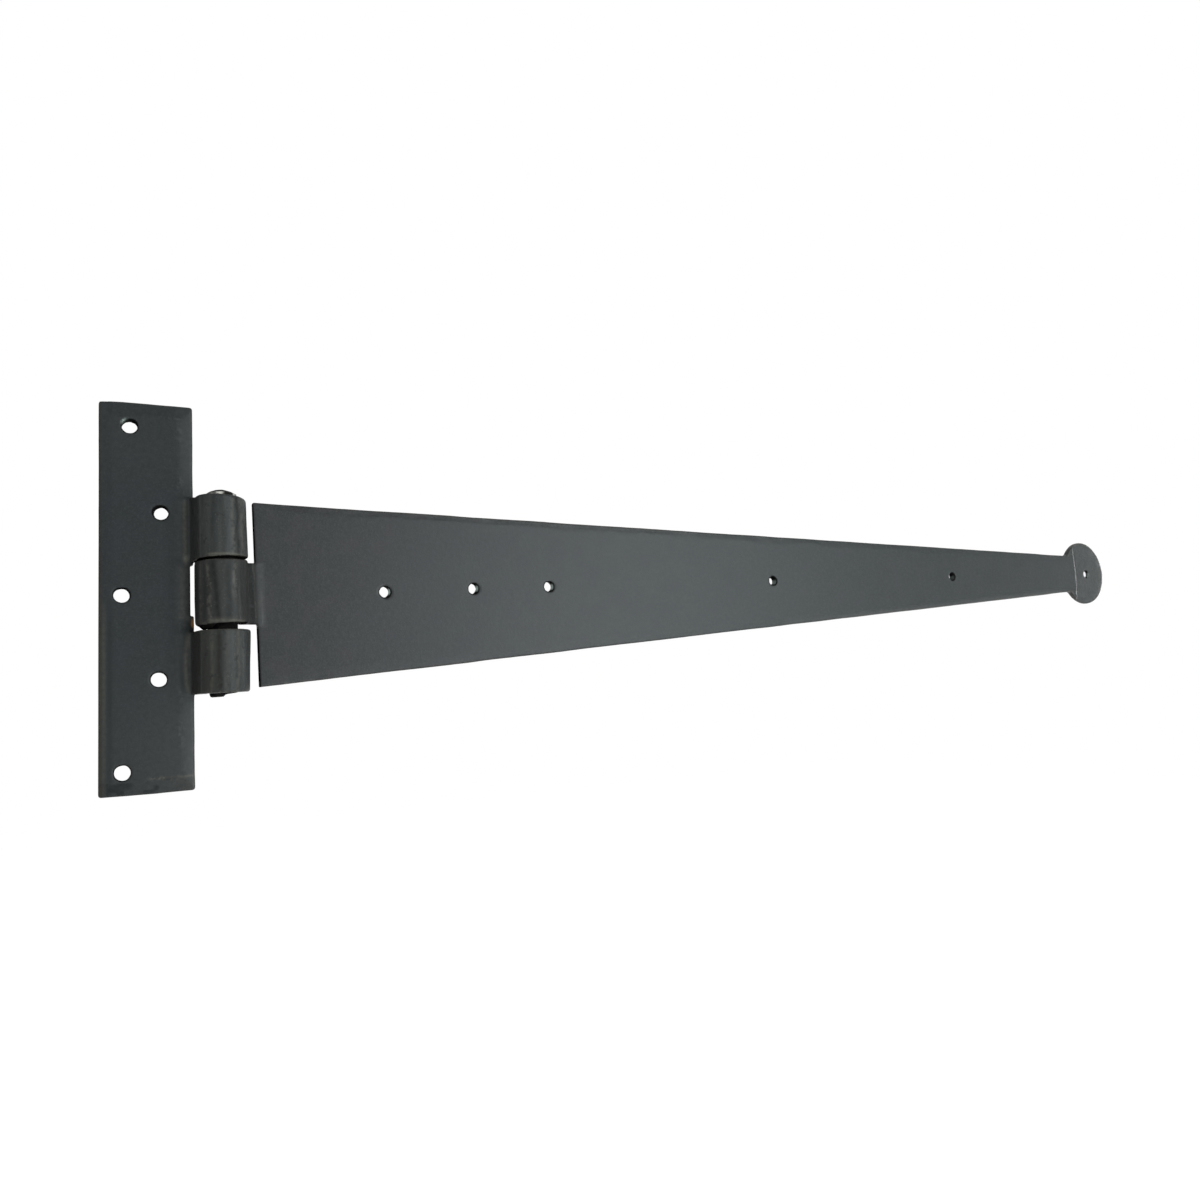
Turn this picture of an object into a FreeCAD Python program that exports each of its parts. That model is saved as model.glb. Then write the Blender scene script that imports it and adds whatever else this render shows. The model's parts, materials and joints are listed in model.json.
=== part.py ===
import FreeCAD, Part
import math
import os
import Sketcher

# Forged tee hinge with a penny end: a fixing plate with two rolled knuckles, a long
# tapering strap with one rolled knuckle between them, and a riveted pin.
# Millimetres. The hinge stands as it hangs on a post: +Z runs up the pin, +X along the
# strap, and the face that shows looks towards -Y. Y = 0 is the wall face of both leaves
# and the origin is the middle of the plate's wall face.

doc = FreeCAD.newDocument("TeeHinge")
sheet = doc.addObject("Spreadsheet::Sheet", "Sizes")

SIZES = [
    # fixing plate
    ("plate_height", 152.4),
    ("plate_width", 33.2),
    ("plate_thickness", 4.0),
    ("end_bevel", 5.8),
    ("inner_bevel", 4.6),
    ("outer_bevel", 3.4),
    ("bevel_depth", 0.8),
    ("plate_hole_radius", 2.95),
    ("outer_hole_inset", 8.0),
    ("top_hole_inset", 10.6),
    ("inner_hole_inset", 20.9),
    ("top_hole_from_end", 9.8),
    ("inner_hole_height", 32.6),
    ("middle_hole_height", 0.0),
    ("bottom_hole_from_end", 8.8),
    # knuckles and pin
    ("pin_radius", 5.55),
    ("pin_offset", 9.8),
    ("running_clearance", 0.08),
    ("back_relief", 0.3),
    ("bend_radius", 2.0),
    ("seam_gap", 0.5),
    ("knuckle_top", 38.6),
    ("upper_knuckle_length", 25.1),
    ("upper_gap", 0.8),
    ("strap_knuckle_length", 25.3),
    ("lower_gap", 2.0),
    ("lower_knuckle_length", 24.6),
    ("knuckle_slot", 1.0),
    ("slot_foot", -8.0),
    ("head_rise", 2.9),
    ("tail_rise", 1.6),
    # strap, measured along its own centre line from the pin
    ("strap_thickness", 4.0),
    ("strap_rake", 1.66),
    ("root_distance", 13.4),
    ("root_width", 75.9),
    ("neck_distance", 527.0),
    ("neck_width", 24.6),
    ("edge_bevel", 3.4),
    ("edge_bevel_depth", 0.6),
    ("root_corner_radius", 1.0),
    ("penny_distance", 545.8),
    ("penny_radius", 20.8),
    ("penny_throat_radius", 4.0),
    ("penny_thickness", 2.0),
    ("penny_step_distance", 535.4),
    ("penny_hole_offset", 1.8),
    ("strap_hole_radius", 2.7),
    ("hole_1_distance", 66.2),
    ("hole_2_distance", 106.0),
    ("hole_3_distance", 143.7),
    ("hole_4_distance", 277.7),
    ("hole_5_distance", 415.9),
]
for row, (alias, value) in enumerate(SIZES, start=1):
    sheet.set("A%d" % row, alias)
    sheet.set("B%d" % row, str(value))
    sheet.setAlias("B%d" % row, alias)
doc.recompute()


def size(alias):
    return float(sheet.get(alias))


# Values that several pieces share.
pin_depth_rule = (
    "Sizes.pin_radius + Sizes.running_clearance"
    " + max(Sizes.plate_thickness; Sizes.strap_thickness) + Sizes.back_relief"
)
pin_depth = (
    size("pin_radius")
    + size("running_clearance")
    + max(size("plate_thickness"), size("strap_thickness"))
    + size("back_relief")
)
pin_x_rule = "Sizes.plate_width / 2 + Sizes.pin_offset"
upper_bottom = size("knuckle_top") - size("upper_knuckle_length")
strap_knuckle_top = upper_bottom - size("upper_gap")
strap_knuckle_bottom = strap_knuckle_top - size("strap_knuckle_length")
lower_top = strap_knuckle_bottom - size("lower_gap")
lower_bottom = lower_top - size("lower_knuckle_length")
upper_bottom_rule = "(Sizes.knuckle_top - Sizes.upper_knuckle_length)"
strap_top_rule = "(%s - Sizes.upper_gap)" % upper_bottom_rule
strap_bottom_rule = "(%s - Sizes.strap_knuckle_length)" % strap_top_rule
lower_top_rule = "(%s - Sizes.lower_gap)" % strap_bottom_rule
lower_bottom_rule = "(%s - Sizes.lower_knuckle_length)" % lower_top_rule


def new_body(name):
    """A body whose local origin is the foot of the pin axis on the wall plane."""
    body = doc.addObject("PartDesign::Body", name)
    body.Label = name
    body.setExpression("Placement.Base.x", pin_x_rule)
    return body


def new_sketch(body, name, role, lift=None, turn=None):
    """A sketch on one of the body's own origin planes, lifted and turned by rules."""
    plane = [f for f in body.Origin.OriginFeatures if f.Role == role][0]
    sketch = body.newObject("Sketcher::SketchObject", name)
    sketch.AttachmentSupport = (plane, [""])
    sketch.MapMode = "FlatFace"
    if lift:
        sketch.setExpression("AttachmentOffset.Base.z", lift)
    if turn:
        sketch.AttachmentOffset = FreeCAD.Placement(
            FreeCAD.Vector(0, 0, 0), FreeCAD.Rotation(FreeCAD.Vector(0, 0, 1), 1)
        )
        sketch.setExpression("AttachmentOffset.Rotation.Angle", turn)
    return sketch


def draw_outline(sketch, edges):
    """Closed outline: each edge's end is tied to the start of the next one."""
    ids = [sketch.addGeometry(edge, False) for edge in edges]
    count = len(edges)
    for index in range(count):
        following = (index + 1) % count
        here = (edges[index].StartPoint, edges[index].EndPoint)
        there = (edges[following].StartPoint, edges[following].EndPoint)
        gap, end, start = min(
            (a.distanceToPoint(b), i, j)
            for i, a in enumerate(here, start=1)
            for j, b in enumerate(there, start=1)
        )
        sketch.addConstraint(
            Sketcher.Constraint("Coincident", ids[index], end, ids[following], start)
        )
    return ids


def vec(x, y):
    return FreeCAD.Vector(x, y, 0)


def line(start, end):
    return Part.LineSegment(start, end)


def arc(centre, radius, start, end):
    """Counter-clockwise arc from the direction of start to the direction of end."""
    circle = Part.Circle(centre, FreeCAD.Vector(0, 0, 1), radius)
    first = math.atan2(start.y - centre.y, start.x - centre.x)
    last = math.atan2(end.y - centre.y, end.x - centre.x)
    while last <= first:
        last += 2 * math.pi
    return Part.ArcOfCircle(circle, first, last)


def bind(sketch, constraint, rule):
    """Adds a dimension and ties it to the sheet."""
    index = sketch.addConstraint(constraint)
    sketch.setExpression("Constraints[%d]" % index, rule)


def pad(body, sketch, name, length_rule):
    feature = body.newObject("PartDesign::Pad", name)
    feature.Profile = sketch
    feature.setExpression("Length", length_rule)
    body.Tip = feature
    return feature


def pocket(body, sketch, name, length_rule=None, both=False):
    feature = body.newObject("PartDesign::Pocket", name)
    feature.Profile = sketch
    if length_rule:
        feature.setExpression("Length", length_rule)
    else:
        feature.Type = 1
        feature.Midplane = both
    body.Tip = feature
    return feature


def bend_reach(thickness, bore_radius):
    """Distance from the pin, along the leaf, at which the leaf starts to bend."""
    reach = size("bend_radius") + bore_radius + thickness
    rise = pin_depth - thickness - size("bend_radius")
    return math.sqrt(reach * reach - rise * rise)


def rolled_profile(side, thickness, bore_radius, leaf_reach):
    """Section of a rolled knuckle and the leaf that it grows from, seen from above.

    The leaf bends forward through a hollow bend, goes over the front of the pin and
    comes round to the back, where the end of the bar stops short of the leaf. side is
    +1 for a leaf that runs towards +X and -1 for one that runs towards -X."""
    bend = size("bend_radius")
    outer_radius = bore_radius + thickness
    reach = bend_reach(thickness, bore_radius)
    pin = vec(0, -pin_depth)
    centre = vec(side * reach, -thickness - bend)
    towards = (centre - pin).normalize()
    outer_meet = pin + towards * outer_radius
    inner_meet = pin + towards * bore_radius
    # the end of the roll stands off the back of the bend by the seam gap
    span = bend + outer_radius
    chord = (outer_radius ** 2 - (bend + thickness) ** 2 + span ** 2) / (2 * span)
    base_angle = math.atan2(towards.y, side * towards.x)
    end_angle = base_angle + math.acos(chord / outer_radius) + size("seam_gap") / outer_radius
    end_way = vec(side * math.cos(end_angle), math.sin(end_angle))
    outer_end = pin + end_way * outer_radius
    inner_end = pin + end_way * bore_radius
    front_start = vec(side * reach, -thickness)
    back_start = vec(side * reach, 0)
    front_far = vec(side * leaf_reach, -thickness)
    back_far = vec(side * leaf_reach, 0)

    def turned(middle, radius, start, end):
        if side > 0:
            return arc(middle, radius, start, end)
        return arc(middle, radius, end, start)

    return [
        line(front_far, front_start),
        turned(centre, bend, front_start, outer_meet),
        turned(pin, outer_radius, outer_end, outer_meet),
        line(outer_end, inner_end),
        turned(pin, bore_radius, inner_end, inner_meet),
        turned(centre, bend + thickness, back_start, inner_meet),
        line(back_start, back_far),
        line(back_far, front_far),
    ]


def add_knuckle(body, name, side, thickness_name, bore_rule, bore_radius, reach, foot, length):
    """Pads one rolled knuckle onto a leaf, with its radii tied to the sheet."""
    thickness = size(thickness_name)
    edges = rolled_profile(side, thickness, bore_radius, reach)
    sketch = new_sketch(body, name + "Section", "XY_Plane", lift=foot)
    ids = draw_outline(sketch, edges)
    bind(sketch, Sketcher.Constraint("Radius", ids[1], size("bend_radius")), "Sizes.bend_radius")
    bind(
        sketch,
        Sketcher.Constraint("Radius", ids[2], bore_radius + thickness),
        "%s + Sizes.%s" % (bore_rule, thickness_name),
    )
    bind(sketch, Sketcher.Constraint("Radius", ids[4], bore_radius), bore_rule)
    return pad(body, sketch, name, length)


def rectangle(sketch, left, low, right, high):
    corners = [vec(left, low), vec(right, low), vec(right, high), vec(left, high)]
    edges = [line(corners[i], corners[(i + 1) % 4]) for i in range(4)]
    return draw_outline(sketch, edges)


def drill(body, name, places, radius_name, turn=None):
    """Round holes right through a leaf; places are (along, up) in the sketch."""
    sketch = new_sketch(body, name + "Places", "XZ_Plane", turn=turn)
    for along, along_rule, up, up_rule in places:
        circle = Part.Circle(vec(along, up), FreeCAD.Vector(0, 0, 1), size(radius_name))
        index = sketch.addGeometry(circle, False)
        bind(
            sketch,
            Sketcher.Constraint("Radius", index, size(radius_name)),
            "Sizes." + radius_name,
        )
        bind(sketch, Sketcher.Constraint("DistanceX", -1, 1, index, 3, along), along_rule)
        if up_rule:
            bind(sketch, Sketcher.Constraint("DistanceY", -1, 1, index, 3, up), up_rule)
        else:
            sketch.addConstraint(Sketcher.Constraint("PointOnObject", index, 3, -1))
    return pocket(body, sketch, name, both=True)


def make_plate():
    body = new_body("fixing_plate")
    thickness = size("plate_thickness")
    right = -size("pin_offset")
    left = right - size("plate_width")
    high = size("plate_height") / 2

    # blank with a forged bevel round its front
    blank = new_sketch(body, "PlateOutline", "XZ_Plane")
    rectangle(blank, left, -high, right, high)
    pad(body, blank, "PlateBlank", "Sizes.plate_thickness - Sizes.bevel_depth")
    brim = new_sketch(
        body, "BevelFoot", "XZ_Plane", lift="Sizes.plate_thickness - Sizes.bevel_depth"
    )
    rectangle(brim, left, -high, right, high)
    crown = new_sketch(body, "BevelCrown", "XZ_Plane", lift="Sizes.plate_thickness")
    rectangle(
        crown,
        left + size("outer_bevel"),
        -high + size("end_bevel"),
        right - size("inner_bevel"),
        high - size("end_bevel"),
    )
    loft = body.newObject("PartDesign::AdditiveLoft", "PlateBevel")
    loft.Profile = brim
    loft.Sections = [crown]
    loft.Ruled = True
    body.Tip = loft

    # the edge is cut back where the bar bends into a knuckle, and a little way beside
    # most of the strap's own knuckle
    reach = bend_reach(thickness, size("pin_radius"))
    beyond = right + size("plate_width")
    cuts = new_sketch(body, "EdgeCuts", "XZ_Plane")
    rectangle(cuts, -reach, upper_bottom, beyond, size("knuckle_top"))
    rectangle(cuts, -reach, lower_bottom, beyond, lower_top)
    pocket(body, cuts, "EdgeCut", both=True)
    slot = new_sketch(body, "SlotCut", "XZ_Plane")
    rectangle(slot, right - size("knuckle_slot"), size("slot_foot"), beyond, upper_bottom)
    pocket(body, slot, "KnuckleSlot", both=True)

    leaf_reach = size("pin_offset") + size("inner_bevel") + thickness / 4
    for name, foot, length in (
        ("UpperKnuckle", upper_bottom_rule, "Sizes.upper_knuckle_length"),
        ("LowerKnuckle", lower_bottom_rule, "Sizes.lower_knuckle_length"),
    ):
        add_knuckle(
            body, name, -1, "plate_thickness", "Sizes.pin_radius", size("pin_radius"),
            leaf_reach, foot, length,
        )

    def place(inset_name, up, up_rule):
        along = left + size(inset_name)
        along_rule = "-Sizes.pin_offset - Sizes.plate_width + Sizes." + inset_name
        return along, along_rule, up, up_rule

    drill(
        body,
        "PlateHoles",
        [
            place(
                "top_hole_inset",
                high - size("top_hole_from_end"),
                "Sizes.plate_height / 2 - Sizes.top_hole_from_end",
            ),
            place("inner_hole_inset", size("inner_hole_height"), "Sizes.inner_hole_height"),
            place("outer_hole_inset", size("middle_hole_height"), "Sizes.middle_hole_height"),
            place("inner_hole_inset", -size("inner_hole_height"), "-Sizes.inner_hole_height"),
            place(
                "outer_hole_inset",
                size("bottom_hole_from_end") - high,
                "Sizes.bottom_hole_from_end - Sizes.plate_height / 2",
            ),
        ],
        "plate_hole_radius",
    )
    return body


def strap_outline():
    """Tapering blade with a round penny end, along its own centre line (u, v)."""
    root = vec(size("root_distance"), size("root_width") / 2)
    neck = vec(size("neck_distance"), size("neck_width") / 2)
    penny = vec(size("penny_distance"), 0)
    radius = size("penny_radius")
    throat = size("penny_throat_radius")
    run = (neck - root).normalize()
    normal = vec(-run.y, run.x)
    # centre of the hollow arc that touches both the edge and the penny
    start = root + normal * throat - penny
    half = start.dot(run)
    rest = start.dot(start) - (radius + throat) ** 2
    along = -half - math.sqrt(half * half - rest)
    hollow = root + normal * throat + run * along
    edge_end = hollow - normal * throat
    penny_start = penny + (hollow - penny).normalize() * radius

    def below(point):
        return vec(point.x, -point.y)

    return [
        line(root, edge_end),
        arc(hollow, throat, edge_end, penny_start),
        arc(penny, radius, below(penny_start), penny_start),
        arc(below(hollow), throat, below(penny_start), below(edge_end)),
        line(below(edge_end), below(root)),
        line(below(root), root),
    ]


def long_front_edges(shape, depth):
    """Names of the long edges that lie in the front face."""
    names = []
    for index, edge in enumerate(shape.Edges, start=1):
        in_front = all(abs(vertex.Point.y + depth) < 1e-6 for vertex in edge.Vertexes)
        if in_front and edge.Length > size("neck_distance") / 2:
            names.append("Edge%d" % index)
    return names


def root_corners(shape):
    """Names of the two inner corners where the knuckle's tab meets the blade."""
    nearest = bend_reach(size("strap_thickness"), size("pin_radius"))
    names = []
    for index, edge in enumerate(shape.Edges, start=1):
        ends = [vertex.Point for vertex in edge.Vertexes]
        if len(ends) != 2 or abs(ends[0].y - ends[1].y) < size("strap_thickness") / 2:
            continue
        upright = abs(ends[0].x - ends[1].x) + abs(ends[0].z - ends[1].z) < 1e-6
        on_tab = min(abs(ends[0].z - strap_knuckle_top), abs(ends[0].z - strap_knuckle_bottom))
        if upright and on_tab < 1e-6 and ends[0].x > nearest:
            names.append("Edge%d" % index)
    return names


def make_strap():
    body = new_body("strap")
    thickness = size("strap_thickness")
    rake = "Sizes.strap_rake"
    blade = new_sketch(body, "StrapOutline", "XZ_Plane", turn=rake)
    ids = draw_outline(blade, strap_outline())
    bind(
        blade,
        Sketcher.Constraint("Radius", ids[2], size("penny_radius")),
        "Sizes.penny_radius",
    )
    pad(body, blade, "Blade", "Sizes.strap_thickness")
    doc.recompute()

    # shallow forged bevel along both long edges
    blank = body.Tip
    long_edges = long_front_edges(blank.Shape, thickness)
    bevel = body.newObject("PartDesign::Chamfer", "EdgeBevel")
    bevel.Base = (blank, long_edges)
    bevel.ChamferType = 1
    bevel.FlipDirection = True
    bevel.setExpression("Size", "Sizes.edge_bevel")
    bevel.setExpression("Size2", "Sizes.edge_bevel_depth")
    body.Tip = bevel
    doc.recompute()

    # the penny is hammered thinner than the blade, with a step across its neck
    far = size("penny_distance") + 2 * size("penny_radius")
    wide = 2 * size("penny_radius")
    step = new_sketch(body, "PennyStep", "XZ_Plane", lift="Sizes.strap_thickness", turn=rake)
    rectangle(step, size("penny_step_distance"), -wide, far, wide)
    pocket(body, step, "PennyForging", "Sizes.strap_thickness - Sizes.penny_thickness")

    bore = size("pin_radius") + size("running_clearance")
    add_knuckle(
        body, "StrapKnuckle", 1, "strap_thickness",
        "Sizes.pin_radius + Sizes.running_clearance", bore,
        size("root_distance") + thickness,
        strap_bottom_rule, "Sizes.strap_knuckle_length",
    )
    doc.recompute()
    rolled = body.Tip
    softened = body.newObject("PartDesign::Fillet", "RootCorners")
    softened.Base = (rolled, root_corners(rolled.Shape))
    softened.setExpression("Radius", "Sizes.root_corner_radius")
    body.Tip = softened

    names = ["hole_%d_distance" % count for count in range(1, 6)]
    spots = [(size(name), "Sizes." + name, 0, None) for name in names]
    # the last hole is a little beyond the middle of the penny
    last = size("penny_distance") + size("penny_hole_offset")
    spots.append((last, "Sizes.penny_distance + Sizes.penny_hole_offset", 0, None))
    drill(
        body,
        "StrapHoles",
        spots,
        "strap_hole_radius",
        turn=rake,
    )
    return body


def make_pin():
    body = new_body("hinge_pin")
    body.setExpression("Placement.Base.y", "-(%s)" % pin_depth_rule)
    radius = size("pin_radius")
    high = size("knuckle_top")
    low = lower_bottom
    head = size("head_rise")
    tail = size("tail_rise")
    head_radius = (radius ** 2 + head ** 2) / (2 * head)
    tail_radius = (radius ** 2 + tail ** 2) / (2 * tail)
    section = new_sketch(body, "PinSection", "XZ_Plane")
    crown = vec(0, high + head)
    foot = vec(0, low - tail)
    edges = [
        line(foot, crown),
        arc(vec(0, high + head - head_radius), head_radius, vec(radius, high), crown),
        line(vec(radius, high), vec(radius, low)),
        arc(vec(0, low - tail + tail_radius), tail_radius, foot, vec(radius, low)),
    ]
    draw_outline(section, edges)
    turned = body.newObject("PartDesign::Revolution", "PinTurning")
    turned.Profile = section
    turned.ReferenceAxis = (section, ["V_Axis"])
    turned.Angle = 360
    body.Tip = turned
    return body


bodies = [make_plate(), make_strap(), make_pin()]
doc.recompute()

for item in doc.Objects:
    if "Invalid" in item.State or "Error" in item.State:
        raise RuntimeError("%s did not build: %s" % (item.Name, item.State))
os.makedirs("parts", exist_ok=True)
for body in bodies:
    shape = body.Shape
    if shape.isNull() or not shape.isValid() or len(shape.Solids) != 1:
        raise RuntimeError(body.Label + " is not one valid solid")
    box = shape.BoundBox
    print(body.Label, "volume %.1f" % shape.Volume, "box", box)
for body in bodies:
    body.Shape.exportStep("parts/%s.step" % body.Label)
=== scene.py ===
import json
import math
from collections import namedtuple

import bpy
import numpy as np
from mathutils import Matrix, Vector


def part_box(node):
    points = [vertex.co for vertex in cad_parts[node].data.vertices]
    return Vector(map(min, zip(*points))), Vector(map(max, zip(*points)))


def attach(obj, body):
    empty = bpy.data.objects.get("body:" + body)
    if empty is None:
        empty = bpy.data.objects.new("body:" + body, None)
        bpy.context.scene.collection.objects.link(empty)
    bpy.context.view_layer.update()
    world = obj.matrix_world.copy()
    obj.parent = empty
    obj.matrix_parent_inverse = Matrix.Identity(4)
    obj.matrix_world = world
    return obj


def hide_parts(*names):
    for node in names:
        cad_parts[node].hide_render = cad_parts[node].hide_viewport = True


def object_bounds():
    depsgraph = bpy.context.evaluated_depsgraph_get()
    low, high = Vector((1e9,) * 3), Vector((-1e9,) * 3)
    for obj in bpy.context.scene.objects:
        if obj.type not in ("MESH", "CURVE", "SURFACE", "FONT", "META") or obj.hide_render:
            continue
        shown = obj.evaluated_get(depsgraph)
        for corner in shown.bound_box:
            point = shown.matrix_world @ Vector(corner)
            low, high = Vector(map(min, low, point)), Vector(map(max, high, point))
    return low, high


# Forged tee hinge. The CAD nodes give places and sizes; each forging is meshed again from
# a distance field, in millimetres, so that its edges, bevels and barrels are hand worked.

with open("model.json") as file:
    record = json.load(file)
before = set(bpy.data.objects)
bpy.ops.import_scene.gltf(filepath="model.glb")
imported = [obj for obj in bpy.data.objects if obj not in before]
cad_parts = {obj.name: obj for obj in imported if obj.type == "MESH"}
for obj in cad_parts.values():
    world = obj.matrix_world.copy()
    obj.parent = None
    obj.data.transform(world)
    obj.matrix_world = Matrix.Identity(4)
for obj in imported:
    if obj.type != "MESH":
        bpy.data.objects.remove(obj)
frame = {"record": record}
CAD_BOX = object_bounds()
MM = 0.001

# Sizes in millimetres, as in the frame. What the frame states is read from it.
plate_low, plate_high = (np.array(corner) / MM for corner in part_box("fixing_plate"))
pin_low, pin_high = (np.array(corner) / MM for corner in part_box("hinge_pin"))
swing = frame["record"]["behaviour"]["joints"][0]
PIN_X, PIN_Y = swing["pos_m"][0] / MM, swing["pos_m"][1] / MM
PIN_RADIUS = (pin_high[0] - pin_low[0]) / 2

PLATE_LEFT = plate_low[0]
PLATE_RIGHT = -plate_low[0]
PLATE_HALF = plate_high[2]
THICKNESS = 4.0
END_BEVEL, INNER_BEVEL, OUTER_BEVEL, BEVEL_DEPTH = 5.8, 5.0, 3.4, 0.8
SLOT_DEPTH = 1.0
SLOT_FOOT = -8.0
NOTCH_REACH = 10.9

UPPER_KNUCKLE = (13.5, 38.6)
STRAP_KNUCKLE = (-12.6, 12.7)
LOWER_KNUCKLE = (-39.2, -14.6)
SEAM_GAP = 0.5
BORE_CLEARANCE = 0.08
# half a barrel's width, over which the slant of its ends is given
BARREL_HALF = 9.5
# the straight flank of the plate's knuckles: left of the pin axis, and in front of the back
FLANK = [(11.1, THICKNESS - 0.3), (8.3, 14.6), (6.9, 10), (8.2, THICKNESS - 0.3)]
HEAD_RISE, HEAD_CROWN, TAIL_RISE = 2.9, 1.8, 1.6

RAKE = math.radians(1.66)
ROOT, ROOT_HALF = 13.4, 37.95
NECK, NECK_HALF = 527.0, 12.3
PENNY, PENNY_RADIUS, PENNY_THROAT = 545.8, 20.8, 4.0
PENNY_STEP, STEP_LEAN, PENNY_THICKNESS = 535.4, 0.035, 2.0
EDGE_BEVEL, EDGE_BEVEL_DEPTH = 3.4, 0.6

# Each hole's place, how far it slips out of line at the back, and its radius there. A place
# on the strap is how far along the blade it lies, and how far above its centre line.
PLATE_HOLE_RADIUS = 2.95
TOP_HOLE = (-6.0, 66.4)
PLATE_HOLES = [
    (TOP_HOLE, (0.1, -0.5), 2.8),
    ((4.7, 32.5), (0.55, -0.15), 2.5),
    ((3.95, -32.8), (0.05, -0.1), 2.8),
    ((-8.75, -0.1), (-0.1, -0.15), 2.8),
    ((-8.6, -67.4), (0.1, -0.15), 2.85),
]
STRAP_HOLE_RADIUS = 2.7
STRAP_HOLES = [
    ((66.1, -0.6), (-0.35, 0.4), 2.35),
    ((106.6, -0.1), (-0.45, 0.35), 2.35),
    ((144.3, 0.0), (-0.15, 0.25), 2.3),
    ((278.0, 0.1), (-0.35, 0.0), 2.1),
    ((416.4, 0.0), (-0.65, -0.1), 2.1),
    ((PENNY + 2.6, -0.4), (0.1, 0.0), 2.1),
]

# Each knuckle: the side of the pin its leaf lies on, -1 left or 1 right, its bore, the inner
# radius of its bend and how far it reaches into the leaf, its height, the seed of its noise,
# how far its lower and upper ends slant, how much more their edges are rounded away from the
# leaf, and how much thicker the bar is on its left side and on its right, low and high.
Knuckle = namedtuple("Knuckle", "side bore bend leaf_end span seed slant rounding fuller")
UPPER = Knuckle(
    side=-1, bore=PIN_RADIUS, bend=2.0, leaf_end=16.5, span=UPPER_KNUCKLE, seed=31,
    slant=(0.4, -0.35), rounding=(0.0, 0.6), fuller=(0.0, 0.1, -0.35),
)
MIDDLE = Knuckle(
    side=1, bore=PIN_RADIUS + BORE_CLEARANCE, bend=3.0, leaf_end=15.4, span=STRAP_KNUCKLE, seed=71,
    slant=(0.55, 0.45), rounding=(1.0, 0.2), fuller=(0.5, 0, 0),
)
LOWER = Knuckle(
    side=-1, bore=PIN_RADIUS, bend=2.0, leaf_end=16.5, span=LOWER_KNUCKLE, seed=41,
    slant=(0.1, 0.0), rounding=(0.3, 0.2), fuller=(0.0, 0.35, 0.75),
)

# The band along edges and rims over which the wax is worn, and how much painted shade a
# face holds before it takes the near-black material that paints shade in recesses and gaps.
EDGE_WEAR = 0.9
BLACK_SHADE_SHARE = 0.6

COARSENESS = 1.0


# Noise and distance helpers

def lattice(ix, iy, iz, seed):
    """Repeatable random value in 0..1 for each point of a whole-number lattice."""
    # large odd numbers, which scatter the bits of neighbouring points
    mixed = ix * 73856093 ^ iy * 19349663 ^ iz * 83492791 ^ (seed * 668265263)
    mixed = (mixed ^ (mixed >> 13)) * 1274126177 & 0xFFFFFFFF
    mixed = (mixed ^ (mixed >> 16)) * 2246822519 & 0xFFFFFFFF
    return (mixed & 0xFFFFFF) / float(0xFFFFFF)


def noise(x, y, z, seed):
    """Smooth noise in -1..1, one lattice cell to each unit. Any of x, y, z may be a number."""
    x, y, z = np.broadcast_arrays(x, y, z)
    base = [np.floor(c).astype(np.int64) for c in (x, y, z)]
    part = [c - b for c, b in zip((x, y, z), base)]
    ease = [p * p * (3 - 2 * p) for p in part]
    total = np.zeros(x.shape)
    for dx in (0, 1):
        for dy in (0, 1):
            for dz in (0, 1):
                weight = (
                    (ease[0] if dx else 1 - ease[0])
                    * (ease[1] if dy else 1 - ease[1])
                    * (ease[2] if dz else 1 - ease[2])
                )
                total += weight * lattice(base[0] + dx, base[1] + dy, base[2] + dz, seed)
    return 2 * total - 1


def smooth_max(a, b, width):
    """The larger of two values, rounded where they are within the width of each other."""
    blend = np.clip(0.5 + 0.5 * (a - b) / width, 0, 1)
    return b + (a - b) * blend + width * blend * (1 - blend)


def smooth_min(a, b, width):
    return -smooth_max(-a, -b, width)


def ramp(value, start, end):
    """0 up to the start, 1 from the end, and smooth between them."""
    share = np.clip((value - start) / (end - start), 0, 1)
    return share * share * (3 - 2 * share)


def band(value, start, full, fade, end):
    """1 between full and fade, 0 before the start and after the end."""
    return ramp(value, start, full) * (1 - ramp(value, fade, end))


def hill(value, centre, width, power=2):
    """1 at the centre, falling to 0 on both sides of it. A higher power has steeper sides."""
    return np.exp(-((value - centre) / width) ** power)


def polygon_distance(x, y, points):
    """Signed distance to a closed outline, negative inside."""
    shape = x.shape
    x, y = x.ravel(), y.ravel()
    nearest = np.full(x.shape, np.inf)
    inside = np.zeros(x.shape, bool)
    for (ax, ay), (bx, by) in zip(points, points[1:] + points[:1]):
        dx, dy = bx - ax, by - ay
        square = dx * dx + dy * dy
        if square < 1e-8:
            continue
        share = np.clip(((x - ax) * dx + (y - ay) * dy) / square, 0, 1)
        nearest = np.minimum(nearest, (x - ax - share * dx) ** 2 + (y - ay - share * dy) ** 2)
        if ay != by:
            inside ^= ((ay > y) != (by > y)) & (x < (bx - ax) * (y - ay) / (by - ay) + ax)
    distance = np.sqrt(nearest)
    return np.where(inside, -distance, distance).reshape(shape)


def arc_points(centre, radius, start, end):
    """Points on an arc from one angle to another, whichever way round."""
    spacing = 0.35
    count = max(4, int(abs(end - start) * radius / spacing))
    return [
        (centre[0] + radius * math.cos(a), centre[1] + radius * math.sin(a))
        for a in np.linspace(start, end, count)
    ]


# Meshing a distance field: one point in each cell that the surface crosses

CORNERS = [(a, b, c) for a in (0, 1) for b in (0, 1) for c in (0, 1)]
CELL_EDGES = [
    (m, n)
    for m in range(8)
    for n in range(m + 1, 8)
    if sum(abs(p - q) for p, q in zip(CORNERS[m], CORNERS[n])) == 1
]


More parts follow.
